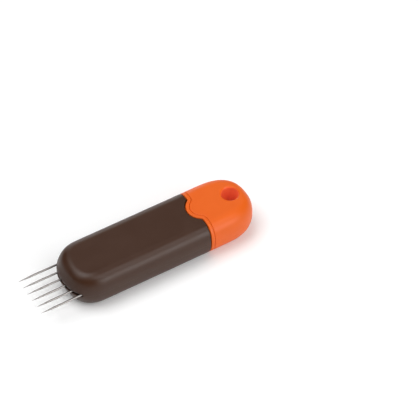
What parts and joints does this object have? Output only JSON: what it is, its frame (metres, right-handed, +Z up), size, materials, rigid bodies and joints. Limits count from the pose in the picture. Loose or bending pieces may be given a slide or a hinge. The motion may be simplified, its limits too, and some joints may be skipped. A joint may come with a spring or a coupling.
{
  "type": "clay scoring tool",
  "caption": "Pocket scoring tool for clay: a row of steel needles on a slider that draws back into a flat rounded hand sleeve, with a key-ring eye in its head.",
  "frame": {"origin": "centre of the whole tool's footprint, needles out, on the flat underside it lies on", "axes": "+X along the tool towards the head and its eye, so the needles point along -X; +Z up, out of the flat top face; +Y across the tool"},
  "size_m": [0.0952, 0.025, 0.0155],
  "materials": {
    "sleeve_brown": "satin, soft-touch moulded plastic",
    "slider_orange": "satin moulded plastic",
    "clamp_grey": "plain moulded plastic, hidden inside",
    "needle_steel": "drawn and polished stainless steel"
  },
  "bodies": {
    "sleeve": {"grip_sleeve": "sleeve_brown"},
    "slider": {"slider_core": "slider_orange", "head_cap": "slider_orange", "needle_clamp_lower": "clamp_grey", "needle_clamp_upper": "clamp_grey", "needle_1": "needle_steel", "needle_2": "needle_steel", "needle_3": "needle_steel", "needle_4": "needle_steel", "needle_5": "needle_steel", "needle_6": "needle_steel"}
  },
  "joints": [
    {"name": "needle_slide", "type": "slide", "parent": "sleeve", "child": "slider", "axis": [1, 0, 0], "range_m": [0, 0.0185]}
  ]
}
